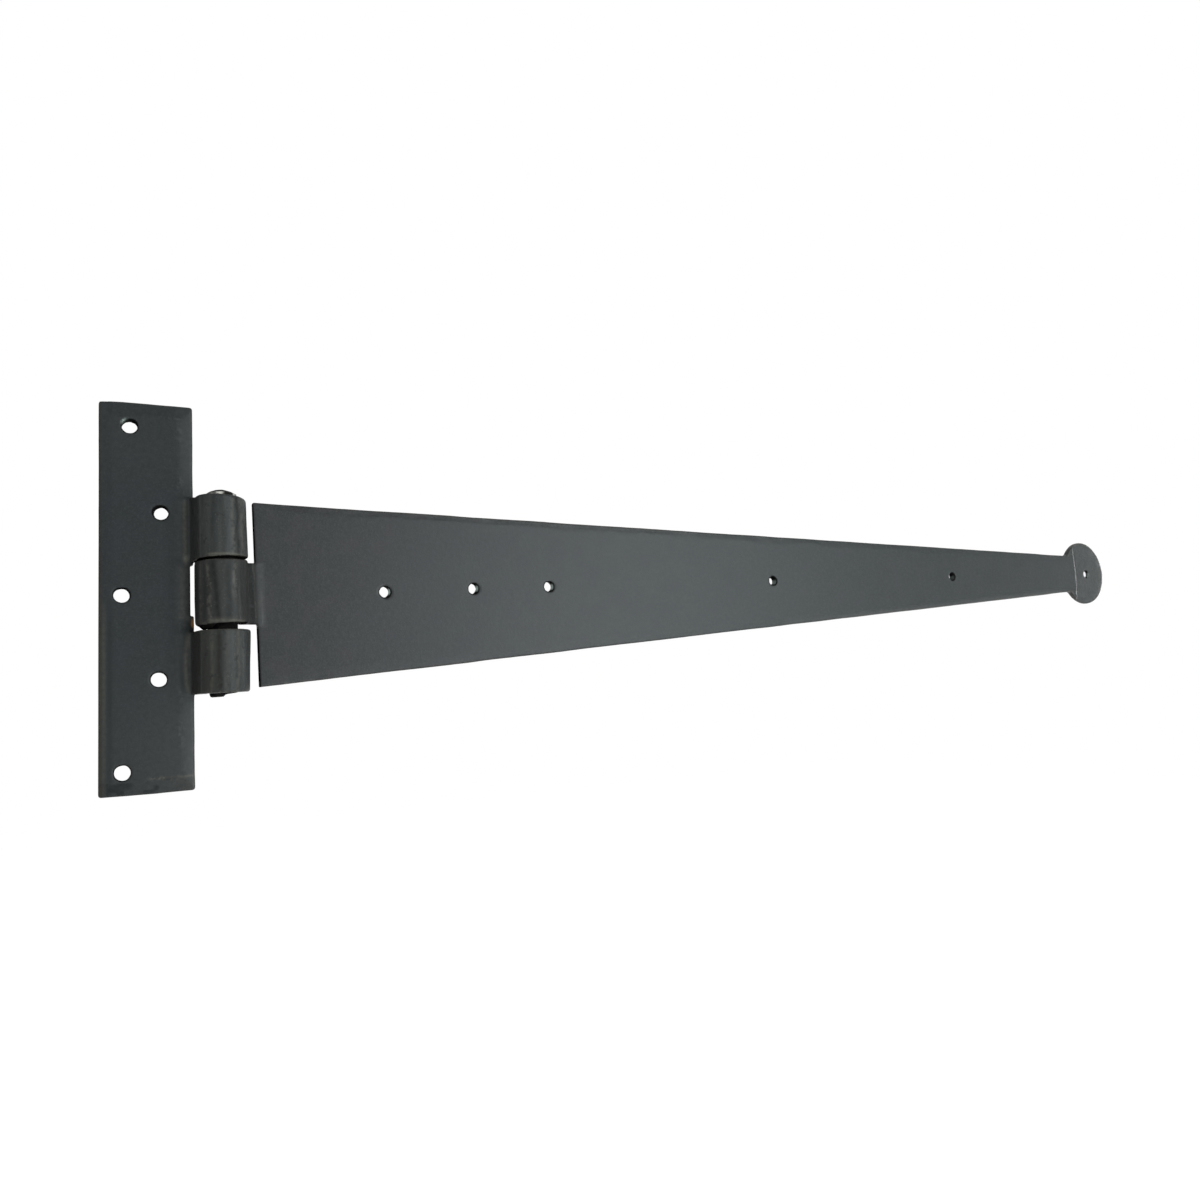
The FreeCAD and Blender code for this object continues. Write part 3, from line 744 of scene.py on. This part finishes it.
def strap_masks(x, y, z):
    """Where the strap is worn, and where light and shade are painted on it."""
    u, v = blade_place(x, z)
    barrel = ramp(-y, THICKNESS, THICKNESS + 2)
    flat = 1 - barrel
    rise = strap_front(u, v)[1] * flat
    from_penny = np.hypot(u - PENNY, v)
    beside_blade = np.minimum(blade_half(u) - np.abs(v), u - ROOT + 1)
    border = np.where(u > NECK + 4, PENNY_RADIUS - from_penny, beside_blade)
    edge = (1 - np.clip(border / EDGE_WEAR, 0, 1)) * flat
    edge = np.maximum(edge, rim_mask(z, (STRAP_KNUCKLE,)) * barrel)
    edge = np.where(u < ROOT - 1, edge * barrel, edge)

    # painted highlight with wear on the crest of the penny's step and on the barrel's lower rim
    on_step = np.clip(1 - np.abs(u - PENNY_STEP - STEP_LEAN * v) / 0.8, 0, 1)
    crest = (0.1 + 0.35 * ramp(-v, -4, 18)) * on_step
    rim = 0.6 * hill(z, STRAP_KNUCKLE[0] + 1.1, 0.6) * barrel * (1 - ramp(x, 32, 35))

    # painted shade on each hole's wall, and on one side of it a bare, metallic burr as a painted
    # highlight, less so towards the penny
    wall, burr_highlight = np.zeros(x.shape), np.zeros(x.shape)
    for (along, above), _, _ in STRAP_HOLES:
        away = np.hypot(u - along, v - above)
        inner = 1 - ramp(away, STRAP_HOLE_RADIUS - 0.1, STRAP_HOLE_RADIUS + 0.25)
        turn = np.degrees(np.arctan2(v - above, u - along))
        facing = 30 * (1 - ramp(along, 60, 280)) - 22
        strength = 1 if along < 200 else 0.7 if along < 300 else 0.4
        lit_side = hill(turn, facing, 38, power=4) * ramp(y + THICKNESS, 0.5, 0.9) * strength
        wall = np.maximum(wall, inner * (1 - lit_side))
        burr_highlight = np.maximum(burr_highlight, inner * lit_side)

    # lit: the penny, the upper bevel near the plate, the lower one beyond, beside the barrel
    lit = 0.28 * ramp(u, PENNY_STEP, PENNY_STEP + 3)
    along_top = ramp(u, 30, 60) * (0.3 + 0.25 * ramp(u, 75, 110)) * (1 - 0.7 * ramp(u, 205, 255))
    lit = np.maximum(lit, along_top * (1 - ramp(u, 255, 330)) * rise * (v > 0))
    lit = np.maximum(lit, 0.5 * band(u, 260, 340, 500, 530) * rise * (v < 0))
    lit = np.maximum(lit, 0.35 * hill(u, 14.9, 1.5, power=4) * (np.abs(z) < 13))

    # painted shade in the valley beside the barrel, on its shaded side and on its two ends
    streaks = barrel_streaks(x, y, z, STRAP_MARKS)
    valley = 1.1 * hill(u, 11.3, 1.9) * (np.abs(z) < 14) * (y > -14.5) * (y < -2.5)
    dark = np.maximum(streaks["dark"], valley)
    shaded = 0.8 * barrel_streaks(x, y, z, SHADED_SIDE)["dark"]
    across = np.clip((x - PIN_X) / BARREL_HALF, -1.1, 1.1)
    under = ramp(STRAP_KNUCKLE[0] + MIDDLE.slant[0] * across - z, -0.55, -0.15) * barrel
    ends = np.maximum(under, ramp(z - STRAP_KNUCKLE[1], -0.5, -0.1) * barrel)

    # the cut root beside the knuckle, and the penny's far rim
    root_line = (1 - ramp(u - ROOT, 0.15, 0.6)) * (np.abs(z) > 13.5) * flat
    far_rim = ramp(from_penny - PENNY_RADIUS, -0.7, -0.25) * ramp(u - PENNY, 2, 12)
    # painted shade and dark lines, which also choose the near-black material
    shade_and_dark = (0.5 * np.maximum(dark, shaded), ends, wall, root_line, far_rim)
    return {
        "edge": edge * (1 - under) * (1 - far_rim),
        "barrel": barrel,
        "crest": crest,
        "dark": np.maximum(dark, ends),
        "light": streaks["light"] * (1 - ends),
        "rim": rim,
        "teal": ramp(u, 60, 260),
        "wall": wall,
        "burr_highlight": burr_highlight,
        "lit": lit,
        "shade_and_dark_lines": np.max(shade_and_dark, axis=0),
    }


def make_strap():
    points, quads = strap_surface()
    masks = strap_masks(*points.T)
    return make_piece("strap_forging", points, quads, "strap", "strap", masks)


# Pin: a turned bar with peened ends

def pin_profile(low, high):
    """Radius and height up the pin, from a tail hammered flat to a domed head."""
    tail = [
        (0.3, 1.0), (1.5, 1.0), (3.0, 0.99), (4.0, 0.96),
        (4.5, 0.88), (4.8, 0.7), (4.95, 0.4), (5.1, 0.0),
    ]
    profile = [(radius, low - TAIL_RISE * share) for radius, share in tail]
    shank = np.linspace(low + 1, high + HEAD_RISE - HEAD_CROWN, 26)
    profile += [(PIN_RADIUS, level) for level in shank]
    ball = (PIN_RADIUS ** 2 + HEAD_CROWN ** 2) / (2 * HEAD_CROWN)
    reach = math.asin(min(1.0, PIN_RADIUS / ball))
    centre = high + HEAD_RISE - ball
    profile += [
        (ball * math.sin(a), centre + ball * math.cos(a)) for a in np.linspace(reach, 0.02, 14)
    ]
    return profile


def make_pin():
    low, high = LOWER_KNUCKLE[0], UPPER_KNUCKLE[1]
    profile = pin_profile(low, high)
    ring = 72
    turn = np.linspace(0, 2 * math.pi, ring, endpoint=False)
    rows = []
    for radius, level in profile:
        x = radius * np.cos(turn)
        y = radius * np.sin(turn)
        end = max(ramp(level, high, high + 1), ramp(-level, -low, -low + 1))
        peened = 0.3 * end * (noise(x / 2.2, y / 2.2, level / 3, 81) - 0.7)
        if level < low:
            # the tail leans: its right side is driven further up
            driven = 0.65 * ramp(x, -0.6, 1.0) + 0.2 * ramp(x, 1, 5)
            peened = peened * 0.5 + (level - low) * driven
        rows.append(np.stack((PIN_X + x, PIN_Y + y, level + np.sign(level) * peened), 1))
    tail_tip = [[PIN_X, PIN_Y, low - TAIL_RISE + 0.1]]
    head_tip = [[PIN_X, PIN_Y, high + HEAD_RISE - 0.1]]
    points = np.concatenate(rows + [tail_tip, head_tip])
    bottom, top = len(profile) * ring, len(profile) * ring + 1
    last = (len(profile) - 1) * ring

    faces = []
    for start in range(0, last, ring):
        above = start + ring
        for step in range(ring):
            after = (step + 1) % ring
            faces.append((start + step, start + after, above + after, above + step))
    for step in range(ring):
        after = (step + 1) % ring
        faces.append((bottom, after, step))
        faces.append((top, last + step, last + after))
    mesh = bpy.data.meshes.new("riveted_pin")
    mesh.from_pydata([tuple(p) for p in points * MM], [], faces)
    mesh.shade_smooth()

    # painted highlight with wear: the head's rim is bright in three patches round its front
    height = points[:, 2]
    around = np.degrees(np.arctan2(points[:, 0] - PIN_X, PIN_Y - points[:, 1]))
    patches = hill(around, -14, 16, power=4) + 0.5 * hill(around, -45, 16, power=4)
    patches += 0.9 * hill(around, 58, 12, power=4)
    highlight_wear = band(height, high - 0.6, high, high + 0.9, high + 1.35) * np.minimum(patches, 1)
    # painted shade on the shank below the head, and a darker crown
    crown = ramp(height, high + 1.2, high + 1.6)
    shade_and_dark = np.maximum(1 - ramp(height, high - 1.5, high - 0.5), crown)
    barrel = np.ones(len(points))
    store_masks(mesh, {"edge": highlight_wear, "barrel": barrel, "dark": shade_and_dark, "shade_and_dark_lines": 0.7 * shade_and_dark})
    piece = bpy.data.objects.new("riveted_pin", mesh)
    bpy.context.scene.collection.objects.link(piece)
    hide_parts("hinge_pin")
    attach(piece, "plate")
    return piece


# Materials

class Nodes:
    """Short calls for building a node tree."""

    def __init__(self, tree):
        self.tree = tree
        tree.nodes.clear()

    def add(self, kind, **settings):
        node = self.tree.nodes.new(kind)
        for key, value in settings.items():
            setattr(node, key, value)
        return node

    def join(self, start, end):
        self.tree.links.new(start, end)

    def grain(self, scale, detail=3.0, stretch=(1, 1, 1)):
        """Noise over the object, about the given number of grains to the metre."""
        place = self.add("ShaderNodeTexCoord")
        mapping = self.add("ShaderNodeMapping")
        mapping.inputs["Scale"].default_value = stretch
        self.join(place.outputs["Object"], mapping.inputs["Vector"])
        texture = self.add("ShaderNodeTexNoise")
        texture.inputs["Scale"].default_value = scale
        texture.inputs["Detail"].default_value = detail
        self.join(mapping.outputs["Vector"], texture.inputs["Vector"])
        return texture.outputs["Fac"]

    def spread(self, value, low, high, new_low, new_high):
        """Take the range low to high to a new range, and hold values at its ends."""
        node = self.add("ShaderNodeMapRange")
        self.join(value, node.inputs["Value"])
        names = ("From Min", "From Max", "To Min", "To Max")
        for name, number in zip(names, (low, high, new_low, new_high)):
            node.inputs[name].default_value = number
        return node.outputs["Result"]

    def operate(self, operation, a, b):
        node = self.add("ShaderNodeMath", operation=operation)
        for socket, item in zip(node.inputs, (a, b)):
            if isinstance(item, (int, float)):
                socket.default_value = item
            else:
                self.join(item, socket)
        return node.outputs["Value"]

    def total(self, a, b):
        return self.operate("ADD", a, b)

    def product(self, a, b):
        return self.operate("MULTIPLY", a, b)

    def larger(self, a, b):
        return self.operate("MAXIMUM", a, b)

    def mix(self, share, a, b):
        """Go from colour a to colour b. The node keeps its colours on sockets 6, 7 and 2."""
        node = self.add("ShaderNodeMix", data_type="RGBA", blend_type="MIX")
        self.join(share, node.inputs[0])
        for index, item in ((6, a), (7, b)):
            if isinstance(item, tuple):
                node.inputs[index].default_value = (*item, 1)
            else:
                self.join(item, node.inputs[index])
        return node.outputs[2]

    def mask(self, name):
        node = self.add("ShaderNodeAttribute", attribute_name=name)
        return node.outputs["Fac"]


def waxed_iron(name, tone, barrel_tone, worn_tone, rough, gloss):
    """Satin black wax over forged iron: mottled, streaked on the barrels, worn at edges, with
    light and shade painted on it.
    """
    material = bpy.data.materials.new(name)
    material.use_nodes = True
    nodes = Nodes(material.node_tree)
    shader = nodes.add("ShaderNodeBsdfPrincipled")
    shader.inputs["Specular IOR Level"].default_value = gloss
    shader.inputs["Specular Tint"].default_value = (0.90, 1.0, 1.02, 1)
    output = nodes.add("ShaderNodeOutputMaterial")
    nodes.join(shader.outputs["BSDF"], output.inputs["Surface"])

    cloud = nodes.grain(16, 3)
    patch = nodes.grain(150, 4)
    fine = nodes.grain(520, 3)
    speck = nodes.grain(1500, 2)
    streak = nodes.grain(110, 3, (2, 2, 0.3))

    def tinted(red, green, blue):
        return tone[0] * red, tone[1] * green, tone[2] * blue

    def marked(mask, grain, share):
        """The mask's share of the mark, from least to most over a range of the fine grain."""
        return nodes.product(nodes.spread(fine, *grain, *share), nodes.mask(mask))

    # the wax, mottled from large clouds to specks
    cloudy = nodes.spread(cloud, 0.4, 0.62, 0, 1)
    colour = nodes.mix(cloudy, tinted(0.98, 0.98, 0.98), tinted(1.03, 1.03, 1.03))
    teal = nodes.product(nodes.spread(patch, 0.35, 0.65, 0.45, 1), nodes.mask("teal"))
    colour = nodes.mix(teal, colour, tinted(0.82, 1.05, 1.02))
    for grain, low, high, share, tint in (
        (patch, 0.5, 0.66, 0.35, tinted(1.34, 1.14, 1.3)),
        (patch, 0.5, 0.36, 0.3, tinted(0.76, 0.94, 0.8)),
        (fine, 0.45, 0.7, 0.5, tinted(1.45, 1.45, 1.45)),
        (speck, 0.5, 0.72, 0.5, tinted(1.9, 1.9, 1.9)),
    ):
        colour = nodes.mix(nodes.spread(grain, low, high, 0, share), colour, tint)

    # the barrels, streaked light and dark, flecked and pitted
    colour = nodes.mix(nodes.product(nodes.mask("barrel"), 0.8), colour, barrel_tone)
    red, green, blue = barrel_tone
    for grain, low, high, share, tint in (
        (streak, 0.5, 0.66, 0.6, (red * 1.5, green * 1.5, blue * 1.5 * 0.93)),
        (streak, 0.5, 0.34, 0.6, (red * 0.5, green * 0.5, blue * 0.5 * 0.93)),
        (speck, 0.6, 0.74, 0.5, (0.062, 0.063, 0.057)),
        (fine, 0.43, 0.3, 0.55, (0.006, 0.006, 0.0055)),
    ):
        on_barrel = nodes.product(nodes.spread(grain, low, high, 0, share), nodes.mask("barrel"))
        colour = nodes.mix(on_barrel, colour, tint)

    # the marks, in the order that they lie over each other: streaks with painted shade and
    # highlight, a brighter field, painted light and shade, crests of wear and painted highlight,
    # an olive tint, and worn edges
    for mask, grain, share, tint in (
        ("dark", (0.34, 0.52), (0.45, 1.0), (0.003, 0.003, 0.0028)),
        ("light", (0.36, 0.6), (0.1, 0.7), (0.05, 0.05, 0.043)),
        ("bright", (0.3, 0.6), (0.6, 1.0), tinted(1.9, 1.8, 1.7)),
        ("lit", (0.3, 0.6), (0.6, 1.0), (0.050, 0.052, 0.050)),
        ("shade", (0.3, 0.6), (0.5, 0.9), (0.0030, 0.0036, 0.0038)),
        ("pale", (0.3, 0.6), (0.3, 0.8), (0.030, 0.030, 0.026)),
        ("ridge", (0.3, 0.6), (0.5, 1.0), (0.088, 0.089, 0.076)),
        ("crest", (0.46, 0.66), (0.0, 0.9), (0.065, 0.065, 0.058)),
        ("olive", (0.3, 0.6), (0.35, 0.9), (0.022, 0.019, 0.012)),
        ("edge", (0.42, 0.62), (0.15, 0.8), worn_tone),
    ):
        colour = nodes.mix(marked(mask, grain, share), colour, tint)
    # worn rims with painted highlight, painted shade on the holes' walls, and the bare burr's
    # painted highlight
    rim_marks = nodes.product(nodes.spread(patch, 0.42, 0.6, 0.1, 1.0), nodes.mask("rim"))
    colour = nodes.mix(rim_marks, colour, (0.068, 0.066, 0.052))
    colour = nodes.mix(marked("wall", (0.3, 0.6), (0.8, 1.0)), colour, (0.005, 0.0055, 0.005))
    burr_highlight = marked("burr_highlight", (0.3, 0.6), (0.75, 1.0))
    colour = nodes.mix(burr_highlight, colour, (0.24, 0.30, 0.28))
    rust = nodes.spread(marked("rust", (0.35, 0.55), (0.4, 1)), 0.1, 0.5, 0, 1)
    colour = nodes.mix(rust, colour, (0.24, 0.125, 0.045))
    nodes.join(colour, shader.inputs["Base Color"])
    nodes.join(nodes.product(burr_highlight, 0.6), shader.inputs["Metallic"])

    patchy = nodes.spread(patch, 0.35, 0.65, rough - 0.015, rough + 0.015)
    roughness = nodes.total(patchy, nodes.spread(speck, 0.3, 0.7, -0.05, 0.07))
    dull = nodes.product(nodes.total(rust, nodes.mask("shade_and_dark_lines")), 0.5)
    nodes.join(nodes.total(roughness, dull), shader.inputs["Roughness"])

    height = nodes.total(nodes.product(fine, 0.6), nodes.product(speck, 0.25))
    bump = nodes.add("ShaderNodeBump")
    bump.inputs["Strength"].default_value = 0.22
    bump.inputs["Distance"].default_value = 0.0003
    nodes.join(height, bump.inputs["Height"])
    nodes.join(bump.outputs["Normal"], shader.inputs["Normal"])
    return material


# Camera, light and surroundings

CAMERA_PLACE = Vector((-7.7, -393.1, -43.8)) * MM
CAMERA_YAW, CAMERA_PITCH, CAMERA_ROLL = (math.radians(a) for a in (27.79, 5.40, -2.90))
FOCAL_PIXELS, IMAGE_PIXELS, SENSOR = 907.0, 1200.0, 36.0
AMBIENT = 0.42
FLOOR_REACH, FLOOR_DROP, FLOOR_GLOW = 6.0, 0.75, 0.75


def make_camera():
    data = bpy.data.cameras.new("camera")
    data.sensor_width = SENSOR
    data.lens = FOCAL_PIXELS / IMAGE_PIXELS * SENSOR
    data.clip_start = 0.01
    data.clip_end = 50
    camera = bpy.data.objects.new("camera", data)
    bpy.context.scene.collection.objects.link(camera)
    ahead = Vector((
        math.sin(CAMERA_YAW) * math.cos(CAMERA_PITCH),
        math.cos(CAMERA_YAW) * math.cos(CAMERA_PITCH),
        math.sin(CAMERA_PITCH),
    ))
    level = Vector((math.cos(CAMERA_YAW), -math.sin(CAMERA_YAW), 0))
    above = level.cross(ahead)
    right = level * math.cos(CAMERA_ROLL) + above * math.sin(CAMERA_ROLL)
    up = above * math.cos(CAMERA_ROLL) - level * math.sin(CAMERA_ROLL)
    turn = Matrix((right, up, -ahead)).transposed().to_4x4()
    camera.matrix_world = Matrix.Translation(CAMERA_PLACE) @ turn
    bpy.context.scene.camera = camera


def make_lamp(name, place, aim, width, height, watts):
    data = bpy.data.lights.new(name, "AREA")
    data.shape = "RECTANGLE"
    data.size = width
    data.size_y = height
    data.energy = watts
    lamp = bpy.data.objects.new(name, data)
    bpy.context.scene.collection.objects.link(lamp)
    lamp.location = place
    lamp.rotation_euler = (Vector(aim) - Vector(place)).to_track_quat("-Z", "Y").to_euler()


def seen_directly(nodes):
    """1 on rays that show the background itself: camera, glossy and transmission rays."""
    path = nodes.add("ShaderNodeLightPath")
    shown = nodes.larger(path.outputs["Is Camera Ray"], path.outputs["Is Glossy Ray"])
    return nodes.larger(shown, path.outputs["Is Transmission Ray"])


def make_world():
    """A white world, which is seen at full strength but lights the part with less."""
    world = bpy.data.worlds.new("studio")
    bpy.context.scene.world = world
    world.use_nodes = True
    nodes = Nodes(world.node_tree)
    background = nodes.add("ShaderNodeBackground")
    background.inputs["Color"].default_value = (1, 1, 1, 1)
    output = nodes.add("ShaderNodeOutputWorld")
    nodes.join(background.outputs["Background"], output.inputs["Surface"])
    strength = nodes.spread(seen_directly(nodes), 0, 1, AMBIENT, 1)
    nodes.join(strength, background.inputs["Strength"])


def make_floor():
    """A floor far enough below the part to show no shadow, which glows where it is seen."""
    floor_mesh = bpy.data.meshes.new("floor")
    level = CAD_BOX[0][2] - FLOOR_DROP
    corners = [(-1, -1), (1, -1), (1, 1), (-1, 1)]
    floor_mesh.from_pydata(
        [(FLOOR_REACH * x, FLOOR_REACH * y, level) for x, y in corners], [], [(0, 1, 2, 3)],
    )
    floor = bpy.data.objects.new("floor", floor_mesh)
    bpy.context.scene.collection.objects.link(floor)
    material = bpy.data.materials.new("pale_floor")
    material.use_nodes = True
    nodes = Nodes(material.node_tree)
    shader = nodes.add("ShaderNodeBsdfPrincipled")
    output = nodes.add("ShaderNodeOutputMaterial")
    shader.inputs["Base Color"].default_value = (0.9, 0.9, 0.9, 1)
    shader.inputs["Roughness"].default_value = 0.9
    shader.inputs["Specular IOR Level"].default_value = 0.0
    shader.inputs["Emission Color"].default_value = (1, 1, 1, 1)
    glow = nodes.spread(seen_directly(nodes), 0, 1, 0, FLOOR_GLOW)
    nodes.join(glow, shader.inputs["Emission Strength"])
    nodes.join(shader.outputs["BSDF"], output.inputs["Surface"])
    floor_mesh.materials.append(material)


plate = make_plate()
strap = make_strap()
pin = make_pin()

# Each iron's tone, the barrel's and the worn edge's, then roughness and gloss. The plate is
# set darker than the strap, and the strap's barrel darker than its blade.
BROWN_WEAR = (0.05, 0.048, 0.04)
SHADE_BLACK = (0.004, 0.004, 0.004)
SHADE_BLACK_WORN = (0.01, 0.01, 0.009)
PIN_HIGHLIGHT_WEAR = (0.75, 0.75, 0.7)
plate.data.materials.append(waxed_iron(
    "plate_iron", (0.0112, 0.0130, 0.0138), (0.0225, 0.0250, 0.0245), BROWN_WEAR, 0.40, 0.108,
))
strap.data.materials.append(waxed_iron(
    "strap_iron", (0.0156, 0.0166, 0.0172), (0.0115, 0.0120, 0.0112), BROWN_WEAR, 0.37, 0.144,
))
pin.data.materials.append(waxed_iron(
    "pin_iron", (0.015, 0.016, 0.015), (0.012, 0.012, 0.011), PIN_HIGHLIGHT_WEAR, 0.45, 0.03,
))
# a near-black material without gloss, which paints shade on the ends in the gaps, the valley, the
# holes' walls and dark lines
for forging in (plate, strap):
    painted_shade = waxed_iron(forging.name + "_recess", SHADE_BLACK, SHADE_BLACK, SHADE_BLACK_WORN, 0.7, 0.0)
    forging.data.materials.append(painted_shade)

make_camera()
make_world()
make_floor()
make_lamp("key_lamp", (0.88, -1.28, -0.1), (0.17, 0, -0.02), 0.8, 1.5, 33.5)
make_lamp("front_lamp", (-0.45, -1.3, 0.05), (0.1, 0, 0), 0.9, 0.9, 4.5)
make_lamp("side_lamp", (3.0, -0.16, 0.2), (0.0, 0, 0), 0.5, 0.5, 14)
bpy.context.scene.view_settings.view_transform = "Standard"
